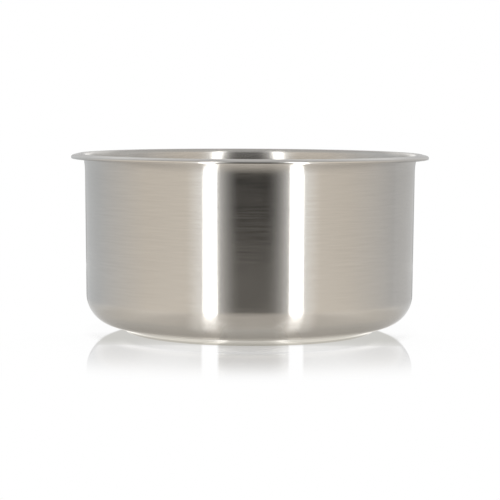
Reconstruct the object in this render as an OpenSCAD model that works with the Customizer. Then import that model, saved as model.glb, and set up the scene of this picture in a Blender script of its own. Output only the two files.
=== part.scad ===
// Deep round pot body in drawn stainless steel: a plain wall without handles, a rim
// turned out and down for pouring, and a thick base made of an aluminium disc that
// is sealed under the floor by a stainless cap.
// Millimetres, +Z up, origin at the middle of the underside.

/* [Shell] */
// Inside diameter at the top of the straight wall
inner_d = 200; // [120:1:360]
// Height of the pot, from its underside to the crest of the rim
total_h = 108.5; // [80:0.5:300]
// Thickness of the drawn sheet
sheet_t = 0.7; // [0.5:0.05:1.5]
// Lean of the wall away from upright, in degrees
wall_draft = 0.5; // [0:0.1:3]
// Radius of the bend between wall and floor, on the inside
corner_r = 18; // [6:0.5:30]

/* [Rim] */
// Radius of the gentle flare at the top of the wall, on the outside
flare_r = 90; // [30:5:120]
// Turn of that flare, in degrees
flare_turn = 7.5; // [0:0.5:12]
// Radius of the bend from the wall over the crest, on its underside
crest_bend_r = 2.8; // [1.5:0.1:6]
// Slope of the flange beyond the crest, in degrees below level
flange_slope = 15; // [5:1:40]
// Length of the straight flange between its two bends
flange_w = 3.1; // [0.5:0.1:12]
// Radius of the bend that turns the flange down, on its underside
edge_bend_r = 0.5; // [0.3:0.1:3]
// Straight leg below that bend, down to the trimmed edge
edge_leg = 0.6; // [0.2:0.1:5]

/* [Base] */
// Thickness of the aluminium disc
core_t = 3.6; // [2:0.1:8]
// Thickness of the cap around the disc
cap_t = 0.5; // [0.3:0.1:1]
// Bare ring of floor between the cap and the start of the wall's bend
base_margin = 4.5; // [1:0.5:12]
// Radius of the bend at the foot of the cap, on its inside
cap_bend_r = 1.3; // [0.5:0.1:2]

/* [Hidden] */
round_sides = 180; // facets that the preview gives a full turn
bend_steps = 12; // straight steps along each bend of a section

// Levels
floor_under_z = cap_t + core_t;
floor_z = floor_under_z + sheet_t;

// Bends of the rim, as radii of the sheet's inner and upper face
crest_r = crest_bend_r + sheet_t;
edge_r = edge_bend_r + sheet_t;
flare_face_r = flare_r + sheet_t;
lean = wall_draft + flare_turn;

// Centres of the bends, worked out from the crest down and from the wall out
crest_c_z = total_h - crest_r;
flare_c_x = inner_d / 2 + flare_face_r * cos(wall_draft);
flare_c_z = crest_c_z + (crest_r - flare_face_r) * sin(lean);
crest_c_x = flare_c_x - (flare_face_r - crest_r) * cos(lean);
wall_top_z = flare_c_z + flare_face_r * sin(wall_draft);
corner_c_z = floor_z + corner_r;
wall_foot_z = corner_c_z - corner_r * sin(wall_draft);
wall_foot_r = inner_d / 2 - (wall_top_z - wall_foot_z) * tan(wall_draft);
corner_c_x = wall_foot_r - corner_r * cos(wall_draft);
edge_c_x = crest_c_x + (crest_r - edge_r) * sin(flange_slope)
    + flange_w * cos(flange_slope);
edge_c_z = crest_c_z + (crest_r - edge_r) * cos(flange_slope)
    - flange_w * sin(flange_slope);
edge_z = edge_c_z - edge_leg;

// Radii of the base
base_r = corner_c_x - base_margin;
core_r = base_r - cap_t;

// Points along a bend about [cx, cz], from one angle to the other
function bend(cx, cz, r, from, to) =
    [for (i = [0 : bend_steps])
        let (a = from + (to - from) * i / bend_steps)
        [cx + r * cos(a), cz + r * sin(a)]];

// A face of the sheet, from the middle of the floor to the trimmed edge;
// depth is 0 on the inner and upper face and sheet_t on the outer one
function sheet_face(depth) = concat(
    [[0, floor_z - depth]],
    bend(corner_c_x, corner_c_z, corner_r + depth, -90, -wall_draft),
    bend(flare_c_x, flare_c_z, flare_face_r - depth, 180 - wall_draft, 180 - lean),
    bend(crest_c_x, crest_c_z, crest_r - depth, 180 - lean, 90 - flange_slope),
    bend(edge_c_x, edge_c_z, edge_r - depth, 90 - flange_slope, 0),
    [[edge_c_x + edge_r - depth, edge_z]]);

function backwards(points) = [for (i = [len(points) - 1 : -1 : 0]) points[i]];

// Half section of a flat dish from z up to the floor, with a rounded foot
module dish_section(r, z, foot_r) {
    polygon(concat(
        [[0, z]],
        bend(r - foot_r, z + foot_r, foot_r, -90, 0),
        [[r, floor_under_z], [0, floor_under_z]]));
}

// The shell is drawn from one sheet, so floor, wall and rim are one piece
module pot_shell() {
    color([0.73, 0.71, 0.67])
        rotate_extrude($fn = round_sides)
            polygon(concat(sheet_face(0), backwards(sheet_face(sheet_t))));
}

// Aluminium disc that spreads the heat, closed in between floor and cap
module core_disc() {
    color([0.80, 0.81, 0.82])
        rotate_extrude($fn = round_sides)
            dish_section(core_r, cap_t, cap_bend_r);
}

// Polished cup that wraps the disc and meets the shell's floor
module base_cap() {
    color([0.78, 0.77, 0.75])
        rotate_extrude($fn = round_sides)
            difference() {
                dish_section(base_r, 0, cap_bend_r + cap_t);
                dish_section(core_r, cap_t, cap_bend_r);
            }
}

pot_shell();
core_disc();
base_cap();
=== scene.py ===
from math import cos, degrees, pi, radians, sin, tan

import bmesh
import bpy
from mathutils import Euler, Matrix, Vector


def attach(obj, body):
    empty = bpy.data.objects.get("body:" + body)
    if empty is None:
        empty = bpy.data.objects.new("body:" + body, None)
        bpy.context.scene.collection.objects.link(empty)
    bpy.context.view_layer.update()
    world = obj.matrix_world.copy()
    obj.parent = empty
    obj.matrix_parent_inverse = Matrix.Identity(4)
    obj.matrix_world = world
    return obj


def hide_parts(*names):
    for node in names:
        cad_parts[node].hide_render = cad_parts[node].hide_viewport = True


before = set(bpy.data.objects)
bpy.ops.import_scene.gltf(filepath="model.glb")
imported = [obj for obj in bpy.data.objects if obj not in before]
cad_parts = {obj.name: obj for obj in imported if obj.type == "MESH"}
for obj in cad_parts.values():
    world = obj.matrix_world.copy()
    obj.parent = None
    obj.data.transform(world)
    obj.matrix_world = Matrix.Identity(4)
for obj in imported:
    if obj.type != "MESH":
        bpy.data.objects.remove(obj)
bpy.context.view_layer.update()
print("Frame loaded")


def toLinear(hexColour):
    # sRGB hex text to the linear colour that the sockets take
    channels = [int(hexColour[i:i + 2], 16) / 255 for i in (1, 3, 5)]
    linear = [c / 12.92 if c <= 0.04045 else ((c + 0.055) / 1.055) ** 2.4 for c in channels]
    return (*linear, 1.0)


def addNode(tree, kind, settings=None, values=None, links=None):
    # settings are the node's own properties, values fill its sockets, links join outputs to them
    node = tree.nodes.new(kind)
    for key, value in (settings or {}).items():
        setattr(node, key, value)
    for key, value in (values or {}).items():
        node.inputs[key].default_value = value
    for key, source in (links or {}).items():
        tree.links.new(source, node.inputs[key])
    return node


def addCurve(tree, source, points):
    # a curve through (input, output) points, level before the first and after the last
    node = addNode(tree, "ShaderNodeFloatCurve", values={"Factor": 1.0}, links={"Value": source})
    curve = node.mapping.curves[0]
    curve.points[0].location = (0.0, points[0][1])
    curve.points[1].location = (1.0, points[-1][1])
    for place, value in points:
        curve.points.new(place, value)
    node.mapping.update()
    return node


def addAside(tree, split, band):
    # how far a point lies beside a straight band on the table, in half widths of the band;
    # band: its middle on X at Y = 0 and how that moves per metre of Y, then the same for its
    # half width
    middle = addNode(tree, "ShaderNodeMath", {"operation": "MULTIPLY_ADD"},
                     values={1: band[1], 2: band[0]}, links={0: split.outputs["Y"]})
    half = addNode(tree, "ShaderNodeMath", {"operation": "MULTIPLY_ADD"},
                   values={1: band[3], 2: band[2]}, links={0: split.outputs["Y"]})
    apart = addNode(tree, "ShaderNodeMath", {"operation": "SUBTRACT"},
                    links={0: split.outputs["X"], 1: middle.outputs[0]})
    share = addNode(tree, "ShaderNodeMath", {"operation": "DIVIDE"},
                    links={0: apart.outputs[0], 1: half.outputs[0]})
    return addNode(tree, "ShaderNodeMath", {"operation": "ABSOLUTE"},
                   links={0: share.outputs[0]})


def startMaterial(name):
    material = bpy.data.materials.new(name)
    material.use_nodes = True
    material.node_tree.nodes.clear()
    return material, material.node_tree


satin = {
    "colour": "#D1CEC9",        # AISI 304 sheet, a little warm
    "roughness": 0.148,         # fine belt satin
    "anisotropy": 1.0,
    "haze": 0.012,              # share of the light that a coarser scratch throws wider
    "hazeRoughness": 0.34,
    "insideRoughness": 0.095,   # what the coarser finish inside the pot adds
    "lineSpread": 0.028,        # how far single lines leave that roughness
    "lineTone": 0.11,           # and how much darker they are
    # grit 180 leaves lines about 0.1 mm apart: drawn 0.7 mm apart, so that they show
    "lineScale": (45, 45, 1500),
}


def makeSatinSteel():
    # 18/10 stainless sheet, spun against a fine belt: it smears reflections up and down the
    # wall and keeps them sharp along it, with faint lines running round the pot
    material, tree = startMaterial("satinSteel")
    place = addNode(tree, "ShaderNodeTexCoord")
    split = addNode(tree, "ShaderNodeSeparateXYZ", links={0: place.outputs["Object"]})
    flat = addNode(tree, "ShaderNodeCombineXYZ",
                   links={"X": split.outputs["X"], "Y": split.outputs["Y"]})
    reach = addNode(tree, "ShaderNodeVectorMath", {"operation": "LENGTH"},
                    links={0: flat.outputs[0]})
    across = addNode(tree, "ShaderNodeMath", {"operation": "ADD"},
                     links={0: reach.outputs["Value"], 1: split.outputs["Z"]})
    lines = addNode(tree, "ShaderNodeCombineXYZ",
                    links={"X": split.outputs["X"], "Y": split.outputs["Y"],
                           "Z": across.outputs[0]})
    stretch = addNode(tree, "ShaderNodeMapping", values={"Scale": satin["lineScale"]},
                      links={"Vector": lines.outputs[0]})
    streaks = addNode(tree, "ShaderNodeTexNoise",
                      values={"Scale": 1.0, "Detail": 3.0, "Roughness": 0.6},
                      links={"Vector": stretch.outputs[0]})
    spread = satin["lineSpread"]
    fine = addNode(tree, "ShaderNodeMapRange",
                   values={"From Min": 0.3, "From Max": 0.7,
                           "To Min": satin["roughness"] - spread,
                           "To Max": satin["roughness"] + spread},
                   links={"Value": streaks.outputs["Fac"]})
    outward = addNode(tree, "ShaderNodeVectorMath", {"operation": "DOT_PRODUCT"},
                      links={0: place.outputs["Normal"], 1: flat.outputs[0]})
    inside = addNode(tree, "ShaderNodeMath", {"operation": "LESS_THAN"}, values={1: 0.0},
                     links={0: outward.outputs["Value"]})
    rough = addNode(tree, "ShaderNodeMath", {"operation": "MULTIPLY_ADD"},
                    values={1: satin["insideRoughness"]},
                    links={0: inside.outputs[0], 2: fine.outputs[0]})
    pale = toLinear(satin["colour"])
    dark = (*[c * (1 - satin["lineTone"]) for c in pale[:3]], 1)
    tone = addNode(tree, "ShaderNodeMix", {"data_type": "RGBA"}, values={6: pale, 7: dark},
                   links={0: streaks.outputs["Fac"]})
    brushed = addNode(tree, "ShaderNodeTangent", {"direction_type": "RADIAL", "axis": "Z"})
    steel = addNode(tree, "ShaderNodeBsdfPrincipled",
                    values={"Metallic": 1.0,
                            "Anisotropic": satin["anisotropy"], "Anisotropic Rotation": 0.25},
                    links={"Base Color": tone.outputs[2], "Roughness": rough.outputs[0],
                           "Tangent": brushed.outputs[0]})
    wide = addNode(tree, "ShaderNodeBsdfPrincipled",
                   values={"Metallic": 1.0, "Roughness": satin["hazeRoughness"],
                           "Anisotropic": satin["anisotropy"], "Anisotropic Rotation": 0.25},
                   links={"Base Color": tone.outputs[2], "Tangent": brushed.outputs[0]})
    finish = addNode(tree, "ShaderNodeMixShader", values={0: satin["haze"]},
                     links={1: steel.outputs[0], 2: wide.outputs[0]})
    addNode(tree, "ShaderNodeOutputMaterial", links={"Surface": finish.outputs[0]})
    return material


polish = {
    "colour": "#DDDDDA",
    "roughness": 0.13,
    "anisotropy": 0.5,
    "mirrored": 0.32,           # roughness that its image in the table has on top
}


def makePolishedSteel():
    # the cap is buffed after brazing: clearer reflections than the wall's, still not a mirror
    material, tree = startMaterial("polishedSteel")
    path = addNode(tree, "ShaderNodeLightPath")
    rough = addNode(tree, "ShaderNodeMath", {"operation": "MULTIPLY_ADD"},
                    values={1: polish["mirrored"], 2: polish["roughness"]},
                    links={0: path.outputs["Is Singular Ray"]})
    brushed = addNode(tree, "ShaderNodeTangent", {"direction_type": "RADIAL", "axis": "Z"})
    steel = addNode(tree, "ShaderNodeBsdfPrincipled",
                    values={"Base Color": toLinear(polish["colour"]), "Metallic": 1.0,
                            "Anisotropic": polish["anisotropy"], "Anisotropic Rotation": 0.25},
                    links={"Roughness": rough.outputs[0], "Tangent": brushed.outputs[0]})
    addNode(tree, "ShaderNodeOutputMaterial", links={"Surface": steel.outputs[0]})
    return material


rolled = {
    "colour": "#C9CBCD",
    "roughness": 0.38,
    "grainSpread": 0.08,        # how far the grain leaves that roughness
    # rolling leaves lines about 0.2 mm apart: drawn 1.4 mm apart, so that they would show
    "grainScale": (12, 700, 12),
}


def makeRolledAluminium():
    # the heat spreader is cut from rolled plate: pale, dull, with the mill's straight grain
    material, tree = startMaterial("rolledAluminium")
    place = addNode(tree, "ShaderNodeTexCoord")
    stretch = addNode(tree, "ShaderNodeMapping", values={"Scale": rolled["grainScale"]},
                      links={"Vector": place.outputs["Object"]})
    grain = addNode(tree, "ShaderNodeTexNoise",
                    values={"Scale": 1.0, "Detail": 3.0, "Roughness": 0.6},
                    links={"Vector": stretch.outputs[0]})
    rough = addNode(tree, "ShaderNodeMapRange",
                    values={"To Min": rolled["roughness"] - rolled["grainSpread"],
                            "To Max": rolled["roughness"] + rolled["grainSpread"]},
                    links={"Value": grain.outputs["Fac"]})
    metal = addNode(tree, "ShaderNodeBsdfPrincipled",
                    values={"Base Color": toLinear(rolled["colour"]), "Metallic": 1.0},
                    links={"Roughness": rough.outputs[0]})
    addNode(tree, "ShaderNodeOutputMaterial", links={"Surface": metal.outputs[0]})
    return material


satinSteel = makeSatinSteel()
polishedSteel = makePolishedSteel()
rolledAluminium = makeRolledAluminium()
print("Metals made")


def drawLine(bm, tip, alongX, alongZ, steps):
    # a straight run of the section from its last point
    step = Vector((alongX, 0, alongZ)) / steps
    for i in range(steps):
        made = bmesh.ops.extrude_vert_indiv(bm, verts=[tip])
        tip = made["verts"][0]
        bmesh.ops.translate(bm, verts=[tip], vec=step)
    return tip


def drawBend(bm, tip, centre, turn, steps):
    # an arc of the section from its last point; positive turns go anticlockwise, with X right
    made = bmesh.ops.spin(bm, geom=[tip], cent=(centre[0], 0, centre[1]), axis=(0, -1, 0),
                          angle=radians(turn), steps=steps, use_duplicate=False)
    return [part for part in made["geom_last"] if isinstance(part, bmesh.types.BMVert)][0]


def turnSection(bm, steps):
    # the section goes once round the pot's axis, and its seam and pole are closed
    bmesh.ops.spin(bm, geom=bm.verts[:] + bm.edges[:], cent=(0, 0, 0), axis=(0, 0, 1),
                   angle=2 * pi, steps=steps, use_merge=True, use_duplicate=False)
    bmesh.ops.remove_doubles(bm, verts=bm.verts, dist=1e-6)
    bmesh.ops.recalc_face_normals(bm, faces=bm.faces)


def keepPiece(name, bm, material, slotName, *nodes):
    mesh = bpy.data.meshes.new(name)
    bm.to_mesh(mesh)
    bm.free()
    mesh.shade_smooth()
    mesh.materials.append(material)
    piece = bpy.data.objects.new(name, mesh)
    bpy.context.scene.collection.objects.link(piece)
    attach(piece, "root")
    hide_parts(*nodes)
    return piece


shell = {
    "sheet": 0.0007,
    "draft": 0.5,               # degrees that the wall leans out
    "cornerBend": 0.018,        # all radii are those of the inner and upper face
    # radius and turn: a slow bend, then a quicker one under the lip
    "flareBends": ((0.0538, 2.5), (0.040, 9.0)),
    "crest": (0.104345, 0.105), # centre of the bend over the crest, on X and Z
    "crestBend": 0.0035,
    "flangeSlope": 15.0,
    "flangeWidth": 0.0031,
    "edgeBend": 0.0012,
    "edgeLeg": 0.0006,
    "edgeTuck": 14.0,           # degrees that this leg leans back in
    "floorUnder": 0.0041,       # underside of the floor, on top of the base
    "trimBevel": 0.00012,       # on the edges of the trimmed sheet
    "steps": {"floor": 12, "corner": 36, "wall": 24, "flare": 10, "crest": 24, "flange": 4,
              "edge": 14, "leg": 2, "round": 256},
}


def makeShell():
    s = shell
    crestX, crestZ = s["crest"]
    slope = radians(s["flangeSlope"])
    floorTop = s["floorUnder"] + s["sheet"]
    cornerZ = floorTop + s["cornerBend"]
    edgeX = crestX + (s["crestBend"] - s["edgeBend"]) * sin(slope) + s["flangeWidth"] * cos(slope)
    edgeZ = crestZ + (s["crestBend"] - s["edgeBend"]) * cos(slope) - s["flangeWidth"] * sin(slope)
    # the flare's centres are found from the crest down
    lean = radians(s["draft"]) + sum(radians(turn) for radius, turn in s["flareBends"])
    turned = lean
    endX, endZ, endBend = crestX, crestZ, s["crestBend"]
    centres = []
    for radius, turn in reversed(s["flareBends"]):
        endX += (radius - endBend) * cos(turned)
        endZ -= (radius - endBend) * sin(turned)
        endBend = radius
        centres.insert(0, (endX, endZ))
        turned -= radians(turn)
    wallX, wallZ = endX - endBend * cos(turned), endZ + endBend * sin(turned)
    footZ = cornerZ - s["cornerBend"] * sin(turned)
    footX = wallX - (wallZ - footZ) * tan(turned)
    cornerX = footX - s["cornerBend"] * cos(turned)

    steps = s["steps"]
    bm = bmesh.new()
    tip = bmesh.ops.create_vert(bm, co=(0, 0, floorTop))["vert"][0]
    tip = drawLine(bm, tip, cornerX, 0, steps["floor"])
    tip = drawBend(bm, tip, (cornerX, cornerZ), 90 - s["draft"], steps["corner"])
    tip = drawLine(bm, tip, wallX - footX, wallZ - footZ, steps["wall"])
    for centre, (radius, turn) in zip(centres, s["flareBends"]):
        tip = drawBend(bm, tip, centre, -turn, steps["flare"])
    overCrest = 90 + s["flangeSlope"] - degrees(lean)
    tip = drawBend(bm, tip, (crestX, crestZ), -overCrest, steps["crest"])
    tip = drawLine(bm, tip, s["flangeWidth"] * cos(slope), -s["flangeWidth"] * sin(slope),
                   steps["flange"])
    tuck = radians(s["edgeTuck"])
    overEdge = 90 - s["flangeSlope"] + s["edgeTuck"]
    tip = drawBend(bm, tip, (edgeX, edgeZ), -overEdge, steps["edge"])
    drawLine(bm, tip, -s["edgeLeg"] * sin(tuck), -s["edgeLeg"] * cos(tuck), steps["leg"])
    turnSection(bm, steps["round"])
    # the drawn face is the inner one: it has to look up into the pot before it gets its sheet
    bm.faces.ensure_lookup_table()
    floorFace = min(bm.faces, key=lambda f: f.calc_center_median().length)
    if floorFace.normal.z < 0:
        bmesh.ops.reverse_faces(bm, faces=bm.faces)
    piece = keepPiece("potShell", bm, satinSteel, "satin_steel", "pot_shell")
    wall = piece.modifiers.new("sheet", "SOLIDIFY")
    wall.thickness = s["sheet"]
    wall.offset = -1.0
    wall.use_even_offset = True
    trim = piece.modifiers.new("trim", "BEVEL")
    trim.width = s["trimBevel"]
    trim.segments = 2
    trim.limit_method = "ANGLE"
    trim.angle_limit = radians(60)


makeShell()
print("Pot shell made")


cap = {
    "reach": 0.07688,
    "height": 0.0041,
    "sheet": 0.0005,
    "footBend": 0.0018,         # outer radius of the bend at the foot
    "steps": {"floor": 12, "foot": 10, "wall": 3, "round": 256},
}


def makeBaseCap():
    c, steps = cap, cap["steps"]
    bm = bmesh.new()
    tip = bmesh.ops.create_vert(bm, co=(0, 0, 0))["vert"][0]
    tip = drawLine(bm, tip, c["reach"] - c["footBend"], 0, steps["floor"])
    tip = drawBend(bm, tip, (c["reach"] - c["footBend"], c["footBend"]), 90, steps["foot"])
    drawLine(bm, tip, 0, c["height"] - c["footBend"], steps["wall"])
    turnSection(bm, steps["round"])
    # the drawn face is the outer one, so its floor has to look down
    bm.faces.ensure_lookup_table()
    floorFace = min(bm.faces, key=lambda f: f.calc_center_median().length)
    if floorFace.normal.z > 0:
        bmesh.ops.reverse_faces(bm, faces=bm.faces)
    piece = keepPiece("baseCap", bm, polishedSteel, "polished_steel", "base_cap")
    wall = piece.modifiers.new("sheet", "SOLIDIFY")
    wall.thickness = c["sheet"]
    wall.offset = -1.0
    wall.use_even_offset = True


makeBaseCap()
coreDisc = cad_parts["core_disc"]
coreDisc.data.materials.clear()
coreDisc.data.materials.append(rolledAluminium)
print("Base made")


table = {
    "colour": "#FAFAFA",
    "ior": 1.49,                # cast acrylic
    "size": 6.0,
    # for the camera: strength of the mirror image over the distance from the pot's axis
    "mirror": ((0.078, 0.40), (0.092, 0.52), (0.106, 0.62), (0.113, 0.79), (0.213, 0.0)),
    "mirrorTop": 1.5,
    # its share this far to the sides, on X
    "aside": ((0.0, 1.0), (0.012, 1.0), (0.018, 0.68), (0.030, 0.52), (0.042, 0.48),
              (0.052, 0.51), (0.064, 0.62), (0.080, 0.75), (0.100, 0.83)),
    # painted strip highlights: two bands, as for addAside, without the mirror image, and where
    # their edges lie
    "paintedStripBands": ((-0.0243, -0.0222, 0.0052, 0.0048), (0.0290, 0.0266, 0.0046, 0.0042)),
    "paintedStripBandEdge": (0.75, 1.2),
    # share of the lit surface, with the pot's shadow, over the distance from the axis
    "shade": ((0.078, 0.50), (0.092, 0.54), (0.100, 0.46), (0.107, 0.07), (0.220, 0.0)),
    "shadeFrom": (0.015, 0.050),    # distance in front of the axis over which it comes in
    "shadeBehind": 0.1,         # and what is left of it further back
    # painted shade under the overhanging wall beside the cap (its shadow and mirror image), its
    # share over the distance in front of the axis, how far it reaches on X there, and where it
    # starts and ends
    "under": "#CCCBC7",
    "underAt": ((0.040, 1.0), (0.055, 0.88), (0.064, 0.70), (0.072, 0.45), (0.079, 0.0)),
    "underEnd": ((0.0, 0.0772), (0.0345, 0.0853), (0.0687, 0.0875), (0.100, 0.0880)),
    "underEdge": (-0.001, 0.0025),
    "underFrom": (-0.004, 0.004),
    # for the steel: painted light, the table's brightness over the distance from the axis
    "glow": ((0.0762, 0.62), (0.0770, 1.0), (0.0830, 1.0), (0.0855, 0.60), (0.100, 0.61),
             (0.125, 0.64), (0.160, 0.72), (0.220, 0.80), (0.330, 0.80), (0.400, 0.70),
             (0.450, 0.58), (0.500, 0.58)),
    # its share this far to the sides, on X
    "across": ((0.0, 0.95), (0.050, 0.94), (0.075, 0.90), (0.100, 0.98), (0.130, 0.98),
               (0.300, 0.67), (0.500, 0.60)),
    # what is added to it beside the middle, by the sine of the bearing, at these distances
    "beside": ((0.0, 0.0), (0.30, 0.0), (0.55, 0.21), (0.75, 0.27), (0.90, 0.15), (1.0, 0.05)),
    "besideAt": ((0.096, 0.0), (0.108, 1.0), (0.190, 1.0), (0.270, 0.0)),
    "behind": 0.72,             # share of it behind the pot
    "behindFrom": (-0.01, 0.05),    # Y over which that begins
    "tint": "#FFF9F0",          # the front is a little warm
    "warmTo": (-0.06, 0.02),    # Y over which that warmth ends
    "low": (0.62, 0.90),        # facing values between which it turns into a mirror
    "clear": (0.12, 0.20),      # and the distances over which that begins
    "leastMirror": 0.05,
    "gloss": 0.06,              # roughness of that mirror
    # extra painted glow closer to the pot, seen at a low angle
    "paintedNearGlow": ((0.084, 1.2), (0.092, 1.05), (0.106, 0.64)),
}


def makeTable():
    # glossy white acrylic sheet: at a low angle it mirrors the pot's foot
    # for the steel it also glows with painted light, brighter or darker by its place on the table
    material, tree = startMaterial("whiteAcrylic")
    path = addNode(tree, "ShaderNodeLightPath")
    isCamera = path.outputs["Is Camera Ray"]
    place = addNode(tree, "ShaderNodeTexCoord")
    split = addNode(tree, "ShaderNodeSeparateXYZ", links={0: place.outputs["Object"]})
    away = addNode(tree, "ShaderNodeVectorMath", {"operation": "LENGTH"},
                   links={0: place.outputs["Object"]})
    distance = away.outputs["Value"]
    sideways = addNode(tree, "ShaderNodeMath", {"operation": "ABSOLUTE"},
                       links={0: split.outputs["X"]})
    ahead = addNode(tree, "ShaderNodeMath", {"operation": "MULTIPLY"}, values={1: -1.0},
                    links={0: split.outputs["Y"]})

    # the camera's mirror image
    share = addCurve(tree, distance, table["mirror"])
    fade = addNode(tree, "ShaderNodeMath", {"operation": "MULTIPLY"},
                   values={1: table["mirrorTop"]}, links={0: share.outputs[0]})
    fresnel = addNode(tree, "ShaderNodeFresnel", values={"IOR": table["ior"]})
    faded = addNode(tree, "ShaderNodeMath", {"operation": "MULTIPLY"},
                    links={0: fresnel.outputs[0], 1: fade.outputs[0]})
    kept = addCurve(tree, sideways.outputs[0], table["aside"])
    # painted highlights: the mirror image is taken out in the strips' bands, so that plain white
    # shows there
    for band in table["paintedStripBands"]:
        beyondStripBands = addNode(tree, "ShaderNodeMapRange", {"interpolation_type": "SMOOTHSTEP"},
                        values={"From Min": table["paintedStripBandEdge"][0],
                                "From Max": table["paintedStripBandEdge"][1]},
                        links={"Value": addAside(tree, split, band).outputs[0]})
        kept = addNode(tree, "ShaderNodeMath", {"operation": "MULTIPLY"},
                       links={0: kept.outputs[0], 1: beyondStripBands.outputs[0]})
    forCamera = addNode(tree, "ShaderNodeMath", {"operation": "MULTIPLY"},
                        links={0: faded.outputs[0], 1: kept.outputs[0]})

    # the steel's mirror image
    weight = addNode(tree, "ShaderNodeLayerWeight", values={"Blend": 0.5})
    low = addNode(tree, "ShaderNodeMapRange", {"interpolation_type": "SMOOTHSTEP"},
                  values={"From Min": table["low"][0], "From Max": table["low"][1]},
                  links={"Value": weight.outputs["Facing"]})
    clear = addNode(tree, "ShaderNodeMapRange",
                    values={"From Min": table["clear"][0], "From Max": table["clear"][1]},
                    links={"Value": distance})
    lowClear = addNode(tree, "ShaderNodeMath", {"operation": "MULTIPLY"},
                       links={0: low.outputs[0], 1: clear.outputs[0]})
    forSteel = addNode(tree, "ShaderNodeMath", {"operation": "MAXIMUM"},
                       values={1: table["leastMirror"]}, links={0: lowClear.outputs[0]})
    strength = addNode(tree, "ShaderNodeMix",
                       links={0: isCamera, 2: forSteel.outputs[0], 3: forCamera.outputs[0]})
    blur = addNode(tree, "ShaderNodeMix", values={2: table["gloss"], 3: 0.0},
                   links={0: isCamera})
    mirror = addNode(tree, "ShaderNodeBsdfAnisotropic", values={"Color": (1, 1, 1, 1)},
                     links={"Roughness": blur.outputs[0]})

    # painted light for the steel, set by place on the table; plain white for the camera
    glow = addCurve(tree, distance, table["glow"])
    across = addCurve(tree, sideways.outputs[0], table["across"])
    turned = addNode(tree, "ShaderNodeMath", {"operation": "DIVIDE"},
                     links={0: sideways.outputs[0], 1: distance})
    beside = addCurve(tree, turned.outputs[0], table["beside"])
    besideAt = addCurve(tree, distance, table["besideAt"])
    widened = addNode(tree, "ShaderNodeMath", {"operation": "MULTIPLY_ADD"}, values={2: 1.0},
                      links={0: beside.outputs[0], 1: besideAt.outputs[0]})
    behind = addNode(tree, "ShaderNodeMapRange",
                     values={"From Min": table["behindFrom"][0],
                             "From Max": table["behindFrom"][1], "To Min": 1.0,
                             "To Max": table["behind"]},
                     links={"Value": split.outputs["Y"]})
    near = addNode(tree, "ShaderNodeMath", {"operation": "SUBTRACT"},
                   links={0: low.outputs[0], 1: lowClear.outputs[0]})
    # painted glow: the table shines brighter near the pot when the steel sees it at a low angle
    extra = addCurve(tree, distance, table["paintedNearGlow"])
    paintedNearGlow = addNode(tree, "ShaderNodeMath", {"operation": "MULTIPLY_ADD"}, values={2: 1.0},
                    links={0: near.outputs[0], 1: extra.outputs[0]})
    bright = glow
    for part in (across, widened, behind, paintedNearGlow):
        bright = addNode(tree, "ShaderNodeMath", {"operation": "MULTIPLY"},
                         links={0: bright.outputs[0], 1: part.outputs[0]})
    level = addNode(tree, "ShaderNodeMix", values={3: 1.0},
                    links={0: isCamera, 2: bright.outputs[0]})
    warmTo = addNode(tree, "ShaderNodeMapRange",
                     values={"From Min": table["warmTo"][0], "From Max": table["warmTo"][1]},
                     links={"Value": split.outputs["Y"]})
    plain = addNode(tree, "ShaderNodeMath", {"operation": "MAXIMUM"},
                    links={0: isCamera, 1: warmTo.outputs[0]})
    hue = addNode(tree, "ShaderNodeMix", {"data_type": "RGBA"},
                  values={6: toLinear(table["tint"]), 7: (1, 1, 1, 1)},
                  links={0: plain.outputs[0]})
    white = addNode(tree, "ShaderNodeEmission",
                    links={"Color": hue.outputs[2], "Strength": level.outputs[0]})

    # the lit surface, which holds the pot's shadow
    lit = addNode(tree, "ShaderNodeBsdfDiffuse", values={"Color": toLinear(table["colour"])})
    shade = addCurve(tree, distance, table["shade"])
    shadeFrom = addNode(tree, "ShaderNodeMapRange",
                        values={"From Min": table["shadeFrom"][0],
                                "From Max": table["shadeFrom"][1],
                                "To Min": table["shadeBehind"]},
                        links={"Value": ahead.outputs[0]})
    frontShade = addNode(tree, "ShaderNodeMath", {"operation": "MULTIPLY"},
                         links={0: shade.outputs[0], 1: shadeFrom.outputs[0]})
    shaded = addNode(tree, "ShaderNodeMath", {"operation": "MULTIPLY"},
                     links={0: frontShade.outputs[0], 1: kept.outputs[0]})
    pale = addNode(tree, "ShaderNodeMixShader",
                   links={0: shaded.outputs[0], 1: white.outputs[0], 2: lit.outputs[0]})
    shown = addNode(tree, "ShaderNodeMath", {"operation": "MAXIMUM"},
                    links={0: isCamera, 1: path.outputs["Is Glossy Ray"]})
    ground = addNode(tree, "ShaderNodeMixShader",
                     links={0: shown.outputs[0], 1: lit.outputs[0], 2: pale.outputs[0]})
    surface = addNode(tree, "ShaderNodeMixShader",
                      links={0: strength.outputs[0], 1: ground.outputs[0],
                             2: mirror.outputs[0]})

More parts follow.
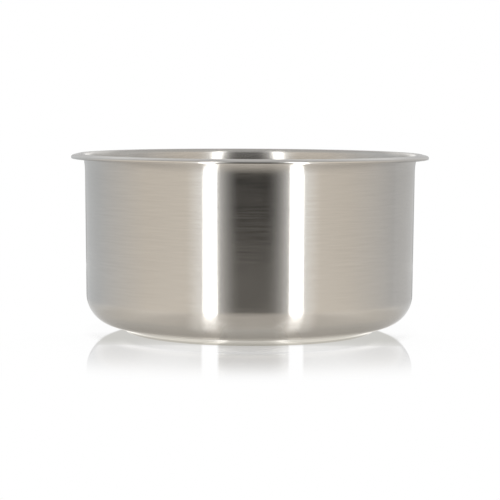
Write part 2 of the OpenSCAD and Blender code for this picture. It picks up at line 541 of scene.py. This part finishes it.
    # painted shade under the wall, a flat grey for the camera
    underAt = addCurve(tree, ahead.outputs[0], table["underAt"])
    underEnd = addCurve(tree, ahead.outputs[0], table["underEnd"])
    beyond = addNode(tree, "ShaderNodeMath", {"operation": "SUBTRACT"},
                     links={0: sideways.outputs[0], 1: underEnd.outputs[0]})
    within = addNode(tree, "ShaderNodeMapRange", {"interpolation_type": "SMOOTHSTEP"},
                     values={"From Min": table["underEdge"][0],
                             "From Max": table["underEdge"][1], "To Min": 1.0,
                             "To Max": 0.0},
                     links={"Value": beyond.outputs[0]})
    front = addNode(tree, "ShaderNodeMapRange", {"interpolation_type": "SMOOTHSTEP"},
                    values={"From Min": table["underFrom"][0],
                            "From Max": table["underFrom"][1]},
                    links={"Value": ahead.outputs[0]})
    paintedShadeShare = underAt.outputs[0]
    for part in (within.outputs[0], front.outputs[0], isCamera):
        product = addNode(tree, "ShaderNodeMath", {"operation": "MULTIPLY"},
                          links={0: paintedShadeShare, 1: part})
        paintedShadeShare = product.outputs[0]
    # painted shade: a flat grey emission
    under = addNode(tree, "ShaderNodeEmission", values={"Color": toLinear(table["under"])})
    closed = addNode(tree, "ShaderNodeMixShader",
                     links={0: paintedShadeShare, 1: surface.outputs[0], 2: under.outputs[0]})
    addNode(tree, "ShaderNodeOutputMaterial", links={"Surface": closed.outputs[0]})

    bm = bmesh.new()
    bmesh.ops.create_grid(bm, x_segments=1, y_segments=1, size=table["size"] / 2)
    mesh = bpy.data.meshes.new("tableTop")
    bm.to_mesh(mesh)
    bm.free()
    mesh.materials.append(material)
    top = bpy.data.objects.new("tableTop", mesh)
    bpy.context.scene.collection.objects.link(top)


# Screens of a light tent round the pot, for reflections. Each stands on an arc about the
# pot's axis; its bearings are in degrees from the camera's side, growing to the camera's right.
# glow and tint: brightness and colour at its first and last bearing
# curve: how the dimmer passes into the brighter one; lift: what is added high up
warm, neutral, cool = "#FFF7EC", "#FFFFFF", "#F9FCFF"
screens = {
    "stripLeft": {"bearings": (-27.9, -19.9), "glow": (4.5, 4.5)},
    "stripRight": {"bearings": (23.9, 32.0), "reach": 0.40, "glow": (4.5, 4.5)},
    "gapLeft": {"bearings": (-19.9, -5.5), "glow": (0.915, 0.015), "curve": 1.8, "lift": 0.24},
    "gapMiddle": {"bearings": (-5.5, 7.5), "glow": (0.035, 0.035), "lift": 0.24,
                  "heights": "gap"},
    "gapRight": {"bearings": (7.5, 23.9), "glow": (0.015, 0.935), "curve": 2.4, "lift": 0.24},
    "glowLeft": {"bearings": (-39.0, -27.9), "glow": (0.96, 1.30), "tint": (warm, neutral)},
    "glowRight": {"bearings": (32.0, 44.0), "glow": (1.30, 0.96), "tint": (neutral, warm)},
    "sideLeftNear": {"bearings": (-67.0, -39.0), "glow": (0.92, 0.97), "tint": (warm, warm)},
    "sideLeftFar": {"bearings": (-118.0, -67.0), "glow": (0.73, 0.92), "tint": (cool, warm)},
    "sideRightNear": {"bearings": (44.0, 62.0), "glow": (0.96, 0.90), "tint": (warm, warm)},
    "sideRightFar": {"bearings": (62.0, 108.0), "glow": (0.90, 0.66),
                     "tint": (warm, neutral)},
    "backRightFar": {"bearings": (108.0, 150.0), "glow": (0.70, 0.70)},
    "backRightNear": {"bearings": (150.0, 172.0), "glow": (1.15, 1.30), "heights": "beside"},
    "backMiddle": {"bearings": (172.0, 188.0), "glow": (1.30, 1.30), "heights": "back"},
    "backLeftNear": {"bearings": (188.0, 210.0), "glow": (1.30, 1.15), "heights": "beside"},
    "backLeftFar": {"bearings": (210.0, 242.0), "glow": (0.73, 0.73), "tint": (cool, cool)},
}
tent = {
    "reach": 0.45,
    "foot": 0.001,              # height of the screens' lower edges over the table
    "height": 0.60,
    "roof": 0.60,               # brightness of the roof
    "overlap": 0.01,            # how far it reaches past the screens
    "steps": {"screen": 12, "roof": 48},
    "liftFrom": (0.25, 0.45),   # heights over which the lift comes in
    # share of a screen's brightness at these heights
    "heights": ((0.020, 0.92), (0.060, 0.91), (0.095, 0.84), (0.140, 1.0), (0.450, 1.0)),
    "gap": ((0.040, 0.0), (0.075, 1.0), (0.450, 1.0)),
    "back": ((0.040, 0.42), (0.080, 0.53), (0.120, 0.90), (0.150, 1.0), (0.220, 0.9),
             (0.450, 0.5)),
    "beside": ((0.040, 0.40), (0.080, 0.46), (0.110, 0.47), (0.170, 0.48), (0.230, 0.55),
               (0.300, 0.68), (0.360, 0.74), (0.450, 0.5)),
}


def makeCloth(name):
    # returns the tree and a function that closes it with the cloth's colour and brightness;
    # the table's mirror image of the pot has no tent round it
    material, tree = startMaterial(name)

    def close(colour, strength, added=False):
        cloth = addNode(tree, "ShaderNodeEmission", links={"Strength": strength})
        if isinstance(colour, tuple):
            cloth.inputs["Color"].default_value = colour
        else:
            tree.links.new(colour, cloth.inputs["Color"])
        path = addNode(tree, "ShaderNodeLightPath")
        clear = addNode(tree, "ShaderNodeBsdfTransparent")
        if added:
            # the glow is added to what lies under it
            cloth = addNode(tree, "ShaderNodeAddShader",
                            links={0: cloth.outputs[0], 1: clear.outputs[0]})
        surface = addNode(tree, "ShaderNodeMixShader",
                          links={0: path.outputs["Is Singular Ray"], 1: cloth.outputs[0],
                                 2: clear.outputs[0]})
        addNode(tree, "ShaderNodeOutputMaterial", links={"Surface": surface.outputs[0]})
        return material

    return tree, close


def hangPiece(name, bm, material, turn=0.0):
    # a piece of the tent shows in reflections only
    mesh = bpy.data.meshes.new(name)
    bm.to_mesh(mesh)
    bm.free()
    mesh.materials.append(material)
    piece = bpy.data.objects.new(name, mesh)
    piece.rotation_euler = Euler((0, 0, turn))
    piece.visible_camera = False
    piece.visible_diffuse = False
    piece.visible_shadow = False
    bpy.context.scene.collection.objects.link(piece)


def makeScreen(name, s):
    first, last = s["bearings"]
    half = radians(last - first) / 2
    tree, close = makeCloth(name + "Cloth")
    place = addNode(tree, "ShaderNodeTexCoord")
    split = addNode(tree, "ShaderNodeSeparateXYZ", links={0: place.outputs["Object"]})
    bearing = addNode(tree, "ShaderNodeMath", {"operation": "ARCTAN2"},
                      links={0: split.outputs["X"], 1: split.outputs["Y"]})
    # share is 0 at the dimmer bearing and 1 at the brighter one
    rising = s["glow"][0] <= s["glow"][1]
    start = half if rising else -half
    share = addNode(tree, "ShaderNodeMapRange", values={"From Min": start, "From Max": -start},
                    links={"Value": bearing.outputs[0]})
    curve = addNode(tree, "ShaderNodeMath", {"operation": "POWER"},
                    values={1: s.get("curve", 1.0)}, links={0: share.outputs[0]})
    glow = addNode(tree, "ShaderNodeMapRange",
                   values={"To Min": min(s["glow"]), "To Max": max(s["glow"])},
                   links={"Value": curve.outputs[0]})
    dim = addCurve(tree, split.outputs["Z"], tent[s.get("heights", "heights")])
    lift = addNode(tree, "ShaderNodeMapRange",
                   values={"From Min": tent["liftFrom"][0], "From Max": tent["liftFrom"][1],
                           "To Max": s.get("lift", 0.0)},
                   links={"Value": split.outputs["Z"]})
    strength = addNode(tree, "ShaderNodeMath", {"operation": "MULTIPLY_ADD"},
                       links={0: glow.outputs[0], 1: dim.outputs[0], 2: lift.outputs[0]})
    tints = [toLinear(tint) for tint in s.get("tint", (neutral, neutral))]
    if not rising:
        tints.reverse()
    tint = addNode(tree, "ShaderNodeMix", {"data_type": "RGBA"}, values={6: tints[0], 7: tints[1]},
                   links={0: share.outputs[0]})
    material = close(tint.outputs[2], strength.outputs[0])
    # its section is drawn on +Y and swept to both sides, then it is turned to its bearing
    bm = bmesh.new()
    foot = bmesh.ops.create_vert(bm, co=(0, s.get("reach", tent["reach"]), tent["foot"]))["vert"][0]
    top = bmesh.ops.extrude_vert_indiv(bm, verts=[foot])["verts"]
    bmesh.ops.translate(bm, verts=top, vec=(0, 0, tent["height"]))
    bmesh.ops.rotate(bm, verts=bm.verts, cent=(0, 0, 0),
                     matrix=Euler((0, 0, -half)).to_matrix())
    bmesh.ops.spin(bm, geom=bm.verts[:] + bm.edges[:], cent=(0, 0, 0), axis=(0, 0, 1),
                   angle=2 * half, steps=tent["steps"]["screen"], use_duplicate=False)
    hangPiece(name, bm, material, pi + radians(first + last) / 2)


# Painted pools of light: glowing cards on the table for the light that the two strips throw, from
# the pot's foot out to the strips: the wall sees them below the strips, each with a fainter skirt.
# Bands are as for addAside, and the glow goes by the distance from the pot's axis.
core = ((0.086, 0.0), (0.092, 0.08), (0.097, 0.34), (0.102, 0.60), (0.1105, 0.85), (0.124, 1.15),
        (0.150, 2.0), (0.200, 4.0), (0.300, 4.8))
skirt = ((0.088, 0.0), (0.096, 0.12), (0.104, 0.26), (0.122, 0.31), (0.150, 0.28), (0.190, 0.12),
         (0.250, 0.0))
paintedPools = {
    "poolLeft": {"band": (0.0197, 0.4660, -0.00100, -0.0725), "glow": core},
    "poolRight": {"band": (-0.0307, -0.6209, -0.00161, -0.0787), "glow": core},
    "skirtLeft": {"band": (0.0188, 0.4810, -0.0038, -0.1950), "glow": skirt},
    "skirtRight": {"band": (-0.0299, -0.6460, -0.0044, -0.1980), "glow": skirt},
}
poolCloth = {
    "front": (-0.080, -0.405),  # Y of its near and far end
    "above": 0.0006,            # height over the table
    "edge": (0.25, 1.4),        # half widths between which the glow fades out
    "width": 1.6,               # half widths to each side
}


def makePaintedPool(name, band, points):
    tree, close = makeCloth(name + "Light")
    place = addNode(tree, "ShaderNodeTexCoord")
    split = addNode(tree, "ShaderNodeSeparateXYZ", links={0: place.outputs["Object"]})
    away = addNode(tree, "ShaderNodeVectorMath", {"operation": "LENGTH"},
                   links={0: place.outputs["Object"]})
    # a curve holds values up to 1, so the glow is drawn as shares of its top
    top = max(value for reach, value in points)
    shares = [(reach, value / top) for reach, value in points]
    glow = addCurve(tree, away.outputs["Value"], shares)
    across = addNode(tree, "ShaderNodeMapRange", {"interpolation_type": "SMOOTHSTEP"},
                     values={"From Min": poolCloth["edge"][0],
                             "From Max": poolCloth["edge"][1], "To Min": top, "To Max": 0.0},
                     links={"Value": addAside(tree, split, band).outputs[0]})
    strength = addNode(tree, "ShaderNodeMath", {"operation": "MULTIPLY"},
                       links={0: glow.outputs[0], 1: across.outputs[0]})
    material = close((1, 1, 1, 1), strength.outputs[0], True)
    bm = bmesh.new()
    nearEnd, farEnd = poolCloth["front"]
    for y, side in ((nearEnd, -1), (nearEnd, 1), (farEnd, 1), (farEnd, -1)):
        middle, half = band[0] + band[1] * y, band[2] + band[3] * y
        x = middle + side * half * poolCloth["width"]
        bmesh.ops.create_vert(bm, co=(x, y, poolCloth["above"]))
    bmesh.ops.contextual_create(bm, geom=bm.verts[:])
    hangPiece(name, bm, material)


def makeRoof():
    tree, close = makeCloth("roofCloth")
    strength = addNode(tree, "ShaderNodeValue")
    strength.outputs[0].default_value = tent["roof"]
    bm = bmesh.new()
    bmesh.ops.create_circle(bm, cap_ends=True, segments=tent["steps"]["roof"],
                            radius=tent["reach"] + tent["overlap"])
    bmesh.ops.translate(bm, verts=bm.verts, vec=(0, 0, tent["height"]))
    hangPiece("roof", bm, close((1, 1, 1, 1), strength.outputs[0]))


makeTable()
for screenName, settings in screens.items():
    makeScreen(screenName, settings)
for poolName, settings in paintedPools.items():
    makePaintedPool(poolName, settings["band"], settings["glow"])
makeRoof()

# even white light all round
world = bpy.data.worlds.new("studio")
bpy.context.scene.world = world
world.use_nodes = True
world.node_tree.nodes.clear()
sky = addNode(world.node_tree, "ShaderNodeBackground",
              values={"Color": (1, 1, 1, 1), "Strength": 1.0})
addNode(world.node_tree, "ShaderNodeOutputWorld", links={"Surface": sky.outputs[0]})
print("Stage made")


view = {
    "place": (0.0, -1.0925, 0.1423),
    "aim": (0.00026, 0.0, 0.0491),
    "lens": 128.22,
    "roll": 0.0045,             # radians by which it leans
}
cameraData = bpy.data.cameras.new("camera")
cameraData.sensor_width = 36
cameraData.lens = view["lens"]
camera = bpy.data.objects.new("camera", cameraData)
camera.location = view["place"]
look = (Vector(view["aim"]) - Vector(view["place"])).to_track_quat("-Z", "Y")
camera.rotation_euler = (look.to_matrix() @ Euler((0, 0, view["roll"])).to_matrix()).to_euler()
bpy.context.scene.collection.objects.link(camera)
bpy.context.scene.camera = camera
bpy.context.scene.view_settings.view_transform = "Standard"
print("Camera made")
